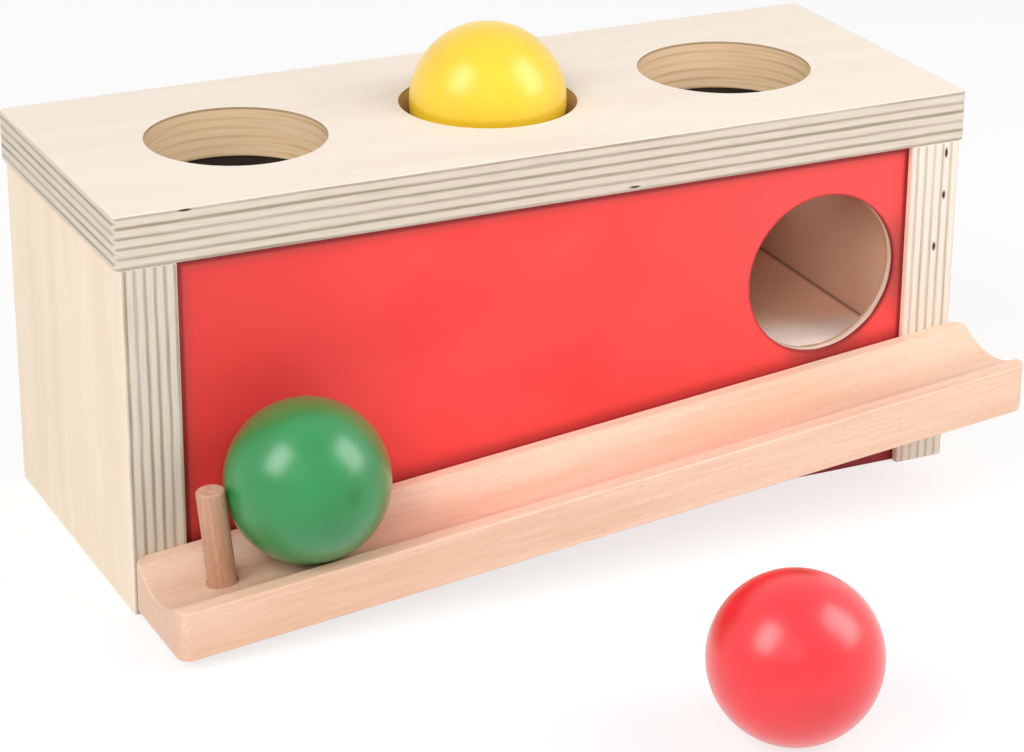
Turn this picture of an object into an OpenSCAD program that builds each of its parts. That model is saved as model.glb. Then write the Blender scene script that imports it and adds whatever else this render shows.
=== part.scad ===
// Ball drop box: three balls, a closed box with three holes, a ramp inside and a trough along the front.
// Millimetres, +Z up, +X to the right and +Y to the back when the trough is seen from the front.
// The origin is on the floor, at the middle of the rectangle that everything stands in.

/* [Balls] */
// Diameter of each ball
ball_d = 50; // [45:0.5:54]
// Distance of the loose ball from the left side face
loose_ball_x = 142.4; // [30:0.1:260]
// Clear floor between the trough and the loose ball
loose_ball_gap = 80.7; // [10:0.1:200]

/* [Box] */
// Length over the side panels
box_l = 284; // [266:1:340]
// Depth over the side panels
box_d = 110; // [94:1:150]
// Height over the top board
box_h = 127; // [124:0.5:170]
// Thickness of the top board
board_t = 16.5; // [12:0.5:20]
// How far the top board stands out past each side panel
board_over = 1.5; // [0:0.1:6]
// Corner radius of the top board, seen from above
board_corner_r = 1.5; // [0.5:0.1:6]
// Thickness of the side panels
side_t = 17.5; // [13:0.5:20]
// Thickness of the front and back panels
panel_t = 5; // [3:0.5:8]
// Depth at which the front and back panels sit behind the side panels' edges
panel_recess = 3; // [1:0.1:6]
// Depth of the grooves that hold the front and back panels
panel_groove = 4; // [2:0.5:6]

/* [Holes] */
// Room round a ball in a top hole
hole_play = 3.2; // [1:0.1:4]
// Share of the top's free length that lies between a side panel and the nearest top hole
hole_end_share = 0.1416; // [0.1:0.001:0.2]
// Room round a ball in the exit hole
exit_play = 1.5; // [0.5:0.1:3]
// Room from the right inner side face to the rim of the exit hole
exit_side_room = 3.5; // [1:0.1:20]
// Height of the front panel above the exit hole
exit_head_room = 12.9; // [6:0.1:16]
// Height of the exit hole's rim above the low end of the ramp
exit_lip = 0.6; // [0:0.1:3]
// Drop from the exit hole's rim to the trough's upper back edge
exit_drop = 1.7; // [0:0.1:6]

/* [Retaining rings] */
// Bore of each ring, which holds a ball until it is pushed
ring_bore = 38.4; // [34:0.1:42]
// Thickness of each ring
ring_t = 2; // [1:0.1:4]
// Share of the wood between two top holes that each ring laps over
ring_lap_share = 0.273; // [0.25:0.001:0.45]
// Screws in each ring
ring_screw_count = 4; // [2:1:8]
// Shank diameter of a ring screw
screw_d = 2.5; // [2:0.1:3.5]
// Length of a ring screw under its head
screw_l = 10; // [6:0.5:11]
// Head diameter of a ring screw
screw_head_d = 5.5; // [4:0.1:6.5]
// Head height of a ring screw
screw_head_h = 1.6; // [1:0.1:2.5]

/* [Ramp] */
// Thickness of the ramp
ramp_t = 5; // [3:0.5:8]
// Fall of the ramp to the right, in degrees
ramp_fall = 2.5; // [1:0.1:3]
// Fall of the ramp to the front, in degrees
ramp_tilt = 0.5; // [0:0.1:1]
// Width of each cleat under the ramp
cleat_w = 12; // [8:0.5:20]
// Height of each cleat on its inner side face
cleat_h = 15; // [8:0.5:24]
// Distance from each end of a cleat to the panel beside it
cleat_end_gap = 6; // [0:0.5:20]

/* [Trough] */
// Thickness of the trough, square to its slope
trough_t = 16; // [13:0.5:18]
// Height of the trough's upper back edge at its low left end
trough_low = 19.1; // [19:0.1:30]
// How far the trough stands out past the right side panel
trough_over = 3.6; // [0:0.1:20]
// Corner radius of the trough, seen from above
trough_corner_r = 4.5; // [1:0.1:8]
// Width of the flat lip behind the groove
lip_back = 4.5; // [2:0.1:10]
// Width of the flat lip in front of the groove
lip_front = 4.9; // [2:0.1:10]
// How much lower the front lip is than the back lip
lip_drop = 0.5; // [0:0.1:2]
// Groove radius over ball radius
groove_play = 3.6; // [2.6:0.1:6]
// How far a resting ball lies in front of the groove's middle
ball_lean = 1.8; // [0:0.1:2]

/* [Stop peg] */
// Diameter of the peg
peg_d = 8.7; // [6:0.1:12]
// Length of the peg above the groove
peg_show = 30.5; // [20:0.5:50]
// Length of the peg in the trough
peg_seat = 8; // [5:0.5:9]
// Place of the peg along the trough, from its low end
peg_place = 20.5; // [18:0.5:40]
// Chamfer round the peg's top
peg_chamfer = 0.6; // [0.2:0.1:2]

/* [Dowels] */
// Diameter of the dowels between the side panels and the top board
top_dowel_d = 8; // [5:0.5:9]
// Length of these dowels in the side panel
top_dowel_down = 18; // [10:1:30]
// Wood left over these dowels in the top board
top_dowel_skin = 4.5; // [2:0.5:6]
// Distance from the box's front and back to these dowels
top_dowel_inset = 25; // [18:1:40]
// Diameter of the dowels between the side panels and the trough
trough_dowel_d = 6; // [4:0.5:6.5]
// Length of these dowels in the side panel and in the trough, each
trough_dowel_half = 15; // [8:1:20]

/* [Hidden] */
$fn = 96;

// Gap between a ball and what it lies against
ball_gap = 0.3;
// Gap round a pin, dowel or screw in its hole
fit_gap = 0.05;
// How far a cut runs past the surface that it opens
overrun = 1;

ball_r = ball_d / 2;
panel_h = box_h - board_t;
inner_left = side_t;
inner_right = box_l - side_t;
inner_front = panel_recess + panel_t;
inner_back = box_d - panel_recess - panel_t;
inner_l = inner_right - inner_left;
inner_d = inner_back - inner_front;

hole_r = ball_r + hole_play;
// What three holes leave of the inner length is shared out at the ends and between the holes
hole_free_l = inner_l - 3 * 2 * hole_r;
hole_wall = hole_free_l * (1 - 2 * hole_end_share) / 2;
hole_pitch = 2 * hole_r + hole_wall;
hole_y = box_d / 2;
hole_xs = [for (i = [-1:1]) box_l / 2 + i * hole_pitch];

exit_r = ball_r + exit_play;
exit_x = inner_right - exit_side_room - exit_r;
exit_z = panel_h - exit_head_room - exit_r;
exit_bottom = exit_z - exit_r;
ramp_low = exit_bottom - exit_lip;

ring_lap = hole_wall * ring_lap_share;
ring_r = hole_r + ring_lap;
ring_top = panel_h;
screw_circle_r = hole_r + ring_lap / 2;
yellow_z = ring_top + sqrt(pow(ball_r + ball_gap, 2) - pow(ring_bore / 2, 2));

// Across the trough, y runs back from the side panels' front edges, so its middle is at -groove_y
green_y = panel_recess - ball_gap - ball_r;
groove_y = -green_y - ball_lean;
groove_half = groove_y - lip_back;
groove_r = ball_r + groove_play;
groove_depth = groove_r - sqrt(pow(groove_r, 2) - pow(groove_half, 2));
trough_w = lip_back + 2 * groove_half + lip_front;
trough_l = box_l + trough_over;
// The trough passes under the exit hole's lowest point, which sets its slope
trough_slope = atan((exit_bottom - exit_drop - trough_low) / exit_x);
// The ball hangs under the groove's axis by what the groove is wider than the ball
green_h = groove_r - groove_depth - sqrt(pow(groove_play - ball_gap, 2) - pow(ball_lean, 2));
green_s = peg_place + sqrt(pow(ball_r + ball_gap + peg_d / 2, 2) - pow(ball_lean, 2));

trough_dowel_x = (side_t - panel_groove) / 2;
trough_dowel_drop = (groove_depth + (trough_t - groove_depth) / 2) / cos(trough_slope);
top_dowel_up = board_t - top_dowel_skin;

loose_ball_y = -(trough_w + loose_ball_gap + ball_r);
x_low = -board_over;
x_high = box_l + max(board_over, trough_over);
y_low = loose_ball_y - ball_r;
origin_x = (x_low + x_high) / 2;
origin_y = (y_low + box_d) / 2;

ply_pale = "#f3e3cd";
ply_side = "#efdcc2";
beech = "#e6c3a2";
red_paint = "#e5453f";

// Puts the box's left front floor corner where it belongs beside the origin
module placed() {
    translate([-origin_x, -origin_y, 0]) children();
}

// Frame of the trough: x up the slope, z square to it, zero on the upper back edge's low end
module on_slope() {
    translate([0, 0, trough_low]) rotate([0, -trough_slope, 0]) children();
}

// Frame of the ramp: zero in the middle of its low right edge, z square to its top
module on_ramp() {
    translate([inner_right, (inner_front + inner_back) / 2, ramp_low])
        rotate([ramp_tilt, 0, 0]) rotate([0, ramp_fall, 0]) children();
}

// Flat outline with round corners, from zero to w and d
module rounded_outline(w, d, r) {
    translate([r, 0]) square([w - 2 * r, d]);
    translate([0, r]) square([w, d - 2 * r]);
    for (x = [r, w - r], y = [r, d - r]) translate([x, y]) circle(r);
}

// Places of the four dowels between top board and side panels
module at_top_dowels() {
    for (x = [side_t / 2, box_l - side_t / 2], y = [top_dowel_inset, box_d - top_dowel_inset])
        translate([x, y, panel_h]) children();
}

// Places of the two dowels between side panels and trough, pointing to the back
module at_trough_dowels() {
    for (x = [trough_dowel_x, box_l - trough_dowel_x])
        translate([x, 0, trough_low + x * tan(trough_slope) - trough_dowel_drop])
            rotate([-90, 0, 0]) children();
}

// Places of one ring's screws round its bore, on the top board's underside
module at_ring_screws() {
    for (i = [0:ring_screw_count - 1])
        rotate([0, 0, (i + 0.5) * 360 / ring_screw_count])
            translate([screw_circle_r, 0, ring_top]) children();
}

module top_board() {
    color(ply_pale) difference() {
        translate([-board_over, 0, panel_h])
            linear_extrude(board_t) rounded_outline(box_l + 2 * board_over, box_d, board_corner_r);
        for (x = hole_xs) translate([x, hole_y, 0]) {
            translate([0, 0, panel_h - overrun]) cylinder(r = hole_r, h = board_t + 2 * overrun);
            at_ring_screws()
                translate([0, 0, -overrun])
                    cylinder(d = screw_d + 2 * fit_gap, h = screw_l - ring_t + overrun);
        }
        at_top_dowels()
            translate([0, 0, -overrun])
                cylinder(d = top_dowel_d + 2 * fit_gap, h = top_dowel_up + overrun);
    }
}

// A side panel; its grooves open to the right for the left panel, and to the left for the right one
module side_panel(left_x, groove_x) {
    color(ply_side) difference() {
        translate([left_x, 0, 0]) cube([side_t, box_d, panel_h]);
        for (y = [panel_recess, box_d - panel_recess - panel_t])
            translate([groove_x, y, -overrun])
                cube([panel_groove, panel_t, panel_h + 2 * overrun]);
        at_top_dowels()
            translate([0, 0, -top_dowel_down])
                cylinder(d = top_dowel_d + 2 * fit_gap, h = top_dowel_down + overrun);
        at_trough_dowels()
            translate([0, 0, -overrun])
                cylinder(d = trough_dowel_d + 2 * fit_gap, h = trough_dowel_half + overrun);
    }
}

module left_side_panel() {
    side_panel(0, side_t - panel_groove);
}

module right_side_panel() {
    side_panel(inner_right, inner_right);
}

// A thin panel that reaches into the grooves of both side panels
module groove_panel(y) {
    translate([inner_left - panel_groove, y, 0]) cube([inner_l + 2 * panel_groove, panel_t, panel_h]);
}

module front_panel() {
    color(red_paint) difference() {
        groove_panel(panel_recess);
        translate([exit_x, panel_recess - overrun, exit_z])
            rotate([-90, 0, 0]) cylinder(r = exit_r, h = panel_t + 2 * overrun);
    }
}

module back_panel() {
    color(ply_side) groove_panel(inner_back);
}

// The space between the four upright panels
module inside() {
    translate([inner_left, inner_front, 0]) cube([inner_l, inner_d, panel_h]);
}

module ramp_board() {
    color(ply_side) intersection() {
        inside();
        on_ramp()
            translate([-inner_l - box_h, -box_d, -ramp_t])
                cube([inner_l + 2 * box_h, 2 * box_d, ramp_t]);
    }
}

// A strip on an inner side face, planed to the underside of the ramp
module ramp_cleat(x, ramp_x) {
    ramp_under = ramp_low - ramp_t + (inner_right - ramp_x) * tan(ramp_fall);
    color(beech) difference() {
        translate([x, inner_front + cleat_end_gap, ramp_under - cleat_h])
            cube([cleat_w, inner_d - 2 * cleat_end_gap, 2 * cleat_h]);
        on_ramp()
            translate([-inner_l - box_h, -box_d, -ramp_t])
                cube([inner_l + 2 * box_h, 2 * box_d, box_h]);
    }
}

module left_ramp_cleat() {
    ramp_cleat(inner_left, inner_left);
}

module right_ramp_cleat() {
    ramp_cleat(inner_right - cleat_w, inner_right);
}

// A soft ring under a top hole; a ball rests on the upper rim of its bore
module retaining_ring(x) {
    color("#3a3634") translate([x, hole_y, 0]) difference() {
        translate([0, 0, ring_top - ring_t]) cylinder(r = ring_r, h = ring_t);
        translate([0, 0, ring_top - ring_t - overrun]) cylinder(d = ring_bore, h = ring_t + 2 * overrun);
        at_ring_screws()
            translate([0, 0, -ring_t - overrun])
                cylinder(d = screw_d + 2 * fit_gap, h = ring_t + 2 * overrun);
    }
}

module ring_screws() {
    color("#b9bcc0") for (x = hole_xs) translate([x, hole_y, 0]) at_ring_screws() {
        translate([0, 0, -ring_t]) cylinder(d = screw_d, h = screw_l);
        translate([0, 0, -ring_t - screw_head_h]) cylinder(d = screw_head_d, h = screw_head_h);
    }
}

module top_dowels() {
    color(beech) at_top_dowels()
        translate([0, 0, -top_dowel_down]) cylinder(d = top_dowel_d, h = top_dowel_down + top_dowel_up);
}

module trough_dowels() {
    color(beech) at_trough_dowels()
        translate([0, 0, -trough_dowel_half]) cylinder(d = trough_dowel_d, h = 2 * trough_dowel_half);
}

// The trough's section: y across it, with zero at its back, and height over the upper back edge
module trough_section() {
    difference() {
        polygon([[0, 0], [-trough_w, -lip_drop], [-trough_w, -trough_t], [0, -trough_t]]);
        translate([-groove_y, groove_r - groove_depth]) circle(groove_r, $fn = 180);
    }
}

module trough() {
    color(beech) difference() {
        intersection() {
            on_slope()
                translate([-trough_t, 0, 0]) rotate([90, 0, 90])
                    linear_extrude(trough_l / cos(trough_slope) + 2 * trough_t) trough_section();
            translate([0, -trough_w, 0])
                linear_extrude(box_h) rounded_outline(trough_l, trough_w, trough_corner_r);
        }
        on_slope()
            translate([peg_place, -groove_y, -groove_depth - peg_seat])
                cylinder(d = peg_d + 2 * fit_gap, h = peg_seat + groove_depth);
        at_trough_dowels()
            translate([0, 0, -trough_dowel_half])
                cylinder(d = trough_dowel_d + 2 * fit_gap, h = trough_dowel_half + overrun);
    }
}

module stop_peg() {
    body_l = peg_seat + peg_show - peg_chamfer;
    color("#c9a182") on_slope() translate([peg_place, -groove_y, -groove_depth - peg_seat]) {
        cylinder(d = peg_d, h = body_l);
        translate([0, 0, body_l])
            cylinder(d1 = peg_d, d2 = peg_d - 2 * peg_chamfer, h = peg_chamfer);
    }
}

module yellow_ball() {
    color("#f3d02f") translate([box_l / 2, hole_y, yellow_z]) sphere(ball_r);
}

module green_ball() {
    color("#3c9b5c") on_slope() translate([green_s, green_y, green_h]) sphere(ball_r);
}

module red_ball() {
    color("#e8423f") translate([loose_ball_x, loose_ball_y, ball_r]) sphere(ball_r);
}

placed() top_board();
placed() left_side_panel();
placed() right_side_panel();
placed() front_panel();
placed() back_panel();
placed() ramp_board();
placed() left_ramp_cleat();
placed() right_ramp_cleat();
placed() retaining_ring(hole_xs[0]);  // left_retaining_ring
placed() retaining_ring(hole_xs[1]);  // middle_retaining_ring
placed() retaining_ring(hole_xs[2]);  // right_retaining_ring
placed() ring_screws();
placed() top_dowels();
placed() trough();
placed() trough_dowels();
placed() stop_peg();
placed() yellow_ball();
placed() green_ball();
placed() red_ball();
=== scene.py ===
# Wooden ball drop box: plywood box, beech trough and peg, three painted balls
import math

import bpy
from mathutils import Matrix, Vector, geometry


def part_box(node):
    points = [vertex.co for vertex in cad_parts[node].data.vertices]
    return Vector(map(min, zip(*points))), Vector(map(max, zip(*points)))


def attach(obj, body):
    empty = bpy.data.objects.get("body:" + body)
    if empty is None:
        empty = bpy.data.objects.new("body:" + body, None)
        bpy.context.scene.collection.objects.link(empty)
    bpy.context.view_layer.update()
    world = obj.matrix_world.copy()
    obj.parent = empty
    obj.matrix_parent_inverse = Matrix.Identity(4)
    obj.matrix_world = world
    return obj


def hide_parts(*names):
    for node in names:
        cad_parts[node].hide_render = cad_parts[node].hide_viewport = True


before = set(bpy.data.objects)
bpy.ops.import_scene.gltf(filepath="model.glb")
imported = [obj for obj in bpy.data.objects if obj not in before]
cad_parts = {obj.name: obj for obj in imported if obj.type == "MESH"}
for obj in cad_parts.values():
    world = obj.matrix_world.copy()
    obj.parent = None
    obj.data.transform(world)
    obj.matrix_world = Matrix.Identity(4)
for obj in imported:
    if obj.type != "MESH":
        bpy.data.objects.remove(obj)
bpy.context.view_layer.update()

mm = 0.001
x, y, z = 0, 1, 2
ringNodes = ("left_retaining_ring", "middle_retaining_ring", "right_retaining_ring")

# Places are in millimetres from the front foot of the left side panel
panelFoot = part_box("left_side_panel")[0]


def span(node):
    low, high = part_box(node)
    return (low - panelFoot) / mm, (high - panelFoot) / mm


def middle(node):
    low, high = span(node)
    return (low + high) / 2


# Meshes
def roundedLoop(corners, steps=5):
    # Outline through rounded corners (x, y, radius) with the way out of the wood at each point
    loop = []
    for i, (cornerX, cornerY, radius) in enumerate(corners):
        corner = Vector((cornerX, cornerY))
        arriving = (corner - Vector(corners[i - 1][:2])).normalized()
        leaving = (Vector(corners[(i + 1) % len(corners)][:2]) - corner).normalized()
        out = Vector((arriving.y, -arriving.x))
        angle = math.atan2(arriving.cross(leaving), arriving.dot(leaving))
        side = math.copysign(1, angle)
        centre = corner - arriving * radius * math.tan(abs(angle) / 2) - side * radius * out
        for step in range(steps + 1):
            turned = Matrix.Rotation(angle * step / steps, 2) @ out
            point = centre + side * radius * turned
            loop.append((point.x, point.y, turned.x, turned.y))
    return loop


def rectangle(low, high, radius):
    corners = [(low[0], low[1]), (high[0], low[1]), (high[0], high[1]), (low[0], high[1])]
    return roundedLoop([(*corner, radius) for corner in corners])


def turns(steps):
    return [2 * math.pi * i / steps for i in range(steps)]


def roundHole(centreX, centreY, radius, steps=128):
    # Runs the other way round than an outer outline, so its way out points to the middle
    around = [(math.cos(a), -math.sin(a)) for a in turns(steps)]
    return [(centreX + radius * u, centreY + radius * v, -u, -v) for u, v in around]


def roundRod(radius, steps=64):
    around = [(math.cos(a), math.sin(a)) for a in turns(steps)]
    return [(radius * u, radius * v, u, v) for u, v in around]


def newPiece(name, points, faces, normals, inHole, material):
    # Points in millimetres; wood reads its faces, ends and hole walls from the two attributes
    mesh = bpy.data.meshes.new(name)
    mesh.from_pydata([panelFoot + Vector(p) * mm for p in points], [], faces)
    mesh.materials.append(material)
    mesh.polygons.foreach_set("use_smooth", [True] * len(mesh.polygons))
    mesh.normals_split_custom_set_from_vertices(normals)
    cut = mesh.attributes.new("woodNormal", "FLOAT_VECTOR", "POINT")
    cut.data.foreach_set("vector", [c for n in normals for c in n])
    hole = mesh.attributes.new("holeWall", "FLOAT", "POINT")
    hole.data.foreach_set("value", inHole)
    mesh.update()
    piece = bpy.data.objects.new(name, mesh)
    bpy.context.scene.collection.objects.link(piece)
    return piece


def slab(name, loops, lowAt, highAt, edge, material, axes=None, start=(0, 0, 0), ruled=False):
    # A body between two heights over a flat outline, with every edge rounded
    # lowAt and highAt give height and slant (along u and v) at a point of the outline's plane
    axes = axes or [Vector((1, 0, 0)), Vector((0, 1, 0)), Vector((0, 0, 1))]
    edgeSteps = 4
    rings = []
    for i in range(edgeSteps + 1):
        a = math.pi / 2 * i / edgeSteps
        rings.append((edge * (1 - math.sin(a)), edge * (1 - math.cos(a)), math.sin(a), math.cos(a)))
    flat = [(loopAt, *point) for loopAt, loop in enumerate(loops) for point in loop]
    points, normals, faces = [], [], []

    def addRing(inset, rise, outShare, upShare, top):
        for _, u, v, outU, outV in flat:
            ringU, ringV = u - outU * inset, v - outV * inset
            height, slantU, slantV = (highAt if top else lowAt)(ringU, ringV)
            up = Vector((-slantU, -slantV, 1)).normalized() * (1 if top else -1)
            turned = (Vector((outU, outV, 0)) * outShare + up * upShare).normalized()
            local = (ringU, ringV, height - rise if top else height + rise)
            points.append(Vector(start) + sum((axis * c for axis, c in zip(axes, local)), Vector()))
            normals.append(sum((axis * c for axis, c in zip(axes, turned)), Vector()))

    for ring in rings:
        addRing(*ring, top=False)
    for ring in reversed(rings):
        addRing(*ring, top=True)
    count = len(flat)
    ringCount = 2 * len(rings)
    first = 0
    for loop in loops:
        for i in range(len(loop)):
            a, b = first + i, first + (i + 1) % len(loop)
            for ring in range(ringCount - 1):
                low, high = ring * count, (ring + 1) * count
                faces.append((low + a, low + b, high + b, high + a))
        first += len(loop)
    lastRing = (ringCount - 1) * count
    if ruled:
        # The outline's second half mirrors its first, so straight strips join them
        for i in range(count // 2 - 1):
            a, b, c, d = i, i + 1, count - 2 - i, count - 1 - i
            faces.append((lastRing + a, lastRing + b, lastRing + c, lastRing + d))
            faces.append((d, c, b, a))
    else:
        flatLoops = []
        for loop in loops:
            flatLoops.append([Vector((u - outU * edge, v - outV * edge, 0)) for u, v, outU, outV in loop])
        joined = [p for loop in flatLoops for p in loop]
        for a, b, c in geometry.tessellate_polygon(flatLoops):
            if (joined[b] - joined[a]).cross(joined[c] - joined[a]).z < 0:
                b, c = c, b
            faces.append((lastRing + a, lastRing + b, lastRing + c))
            faces.append((c, b, a))
    inHole = [1.0 if loopAt else 0.0 for loopAt, *_ in flat] * ringCount
    return newPiece(name, points, faces, normals, inHole, material)


def level(height):
    return lambda u, v: (height, 0, 0)


# Nodes
smoothly = {"interpolation_type": "SMOOTHSTEP"}


def colour(code):
    # sRGB hex to the linear values that Blender works in
    parts = [int(code[i:i + 2], 16) / 255 for i in (1, 3, 5)]
    return (*[c / 12.92 if c <= 0.04045 else ((c + 0.055) / 1.055) ** 2.4 for c in parts], 1)


def firstOutput(node):
    return next(output for output in node.outputs if output.enabled)


def add(tree, kind, inputs=(), **settings):
    # Adds a node with its settings. Its inputs come in order, or by name or number:
    # numbers, places and sRGB codes are set, nodes and sockets are linked
    node = tree.nodes.new(kind)
    for name, value in settings.items():
        setattr(node, name, value)
    given = inputs if isinstance(inputs, dict) else dict(enumerate(inputs))
    for key, value in given.items():
        if isinstance(value, bpy.types.Node):
            value = firstOutput(value)
        if isinstance(value, bpy.types.NodeSocket):
            tree.links.new(value, node.inputs[key])
        else:
            node.inputs[key].default_value = colour(value) if isinstance(value, str) else value
    return node


def newMaterial(name, settings):
    material = bpy.data.materials.new(name)
    material.use_nodes = True
    tree = material.node_tree
    shader = tree.nodes["Principled BSDF"]
    for key, value in settings.items():
        shader.inputs[key].default_value = value
    return material, tree, shader


def millimetres(tree):
    # Object coordinates in millimetres from the panel's foot
    coords = add(tree, "ShaderNodeTexCoord").outputs["Object"]
    moved = add(tree, "ShaderNodeVectorMath", (coords, panelFoot), operation="SUBTRACT")
    return add(tree, "ShaderNodeVectorMath", {0: moved, "Scale": 1 / mm}, operation="SCALE")


def axesOf(tree, vector):
    parts = add(tree, "ShaderNodeSeparateXYZ", (vector,))
    return [parts.outputs[axis] for axis in (x, y, z)]


def wayOutOf(tree):
    # The way out of the wood, which tells faces from edges and ends
    cut = add(tree, "ShaderNodeAttribute", attribute_name="woodNormal")
    return axesOf(tree, cut.outputs["Vector"])


def cloudy(tree, place, sizes, finer=2.0, warp=0.0):
    # A cloudy pattern whose features measure sizes, in millimetres along x, y and z
    stretched = add(tree, "ShaderNodeVectorMath", (place, sizes), operation="DIVIDE")
    inputs = {"Vector": stretched, "Scale": 1.0, "Detail": finer, "Distortion": warp}
    return add(tree, "ShaderNodeTexNoise", inputs)


def distanceFrom(tree, place, middleAt, weights):
    away = add(tree, "ShaderNodeVectorMath", (place, middleAt), operation="SUBTRACT")
    away = add(tree, "ShaderNodeVectorMath", (away, weights), operation="MULTIPLY")
    return add(tree, "ShaderNodeVectorMath", (away,), operation="LENGTH")


def summed(tree, total, patterns):
    # Adds up patterns, each with the two values that it rises between and what it adds there
    for pattern in patterns:
        part = add(tree, "ShaderNodeMapRange", pattern, **smoothly)
        total = add(tree, "ShaderNodeMath", (total, part), operation="ADD")
    return total


def layered(tree, base, layers):
    # Lays colours over a base, each as far as its share says
    for share, over in layers:
        base = add(tree, "ShaderNodeMix", {0: share, 6: base, 7: over}, data_type="RGBA")
    return base


def dressShader(tree, shader, base, rough=None, height=None, strength=0.0, depth=0.0):
    # Colour, roughness and a relief of a depth in millimetres
    given = {"Base Color": base, "Roughness": rough}
    if height:
        relief = {"Height": height, "Strength": strength, "Distance": depth * mm}
        given["Normal"] = add(tree, "ShaderNodeBump", relief)
    for key, node in given.items():
        if node:
            tree.links.new(firstOutput(node), shader.inputs[key])


print("helpers ready")


# Birch plywood
plyLook = {
    "faceLight": "#f8ecdf",
    "faceDark": "#f4e4d4",
    "edgeLight": "#ddd3c5",
    "edgeDark": "#a4947e",
    "glue": "#a08a70",
    "holeWall": "#ffd192",
    "holeRim": "#84775f",
    # Inside faces: raw, and painted warmer and lighter for the light bounced round inside
    "inner": "#ffccad",
    # Painted shade: the dark inside the open gaps
    "gap": "#42332a",
    "bandSpacing": 3.1,
}
# The side panels are a little yellower, and the thin sheets a little pinker
sidePlyLook = {**plyLook, "faceLight": "#f6e5d0", "faceDark": "#efd9c1"}
rightPlyLook = {**sidePlyLook, "edgeLight": "#f3e8db", "edgeDark": "#c2b3a0"}
thinPlyLook = {**plyLook, "faceLight": "#fce4d4", "faceDark": "#f3d5c0", "bandSpacing": 2.5}
rampPlyLook = {
    **thinPlyLook,
    "faceLight": "#fff0e4",
    "faceDark": "#fae2d2",
    # Painted light and shade: the pale faces stand for the light at the exit, deep for the shade further in
    "deep": "#ffd0b0",
    "paintedShadeFrom": 18,
    "paintedShadeTo": 35,
    "joint": "#6d4630",
}
# Millimetres along the grain, across it and through the sheet, then the number of finer layers
plyGrain = {
    "figure": (170, 30, 60, 2),
    "tone": (120, 14, 40, 3),
    "fibre": (22, 0.7, 30, 3),
    "pore": (2.6, 0.32, 3, 1),
    "waviness": (40, 40, 6, 2),
    "strength": (90, 90, 3.4, 1),
    "line": (18, 18, 0.3, 2),
    "speckle": (0.45, 0.45, 0.45, 2),
}
insideFrom, insideTo = span("front_panel")[1].y, span("back_panel")[0].y


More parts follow.
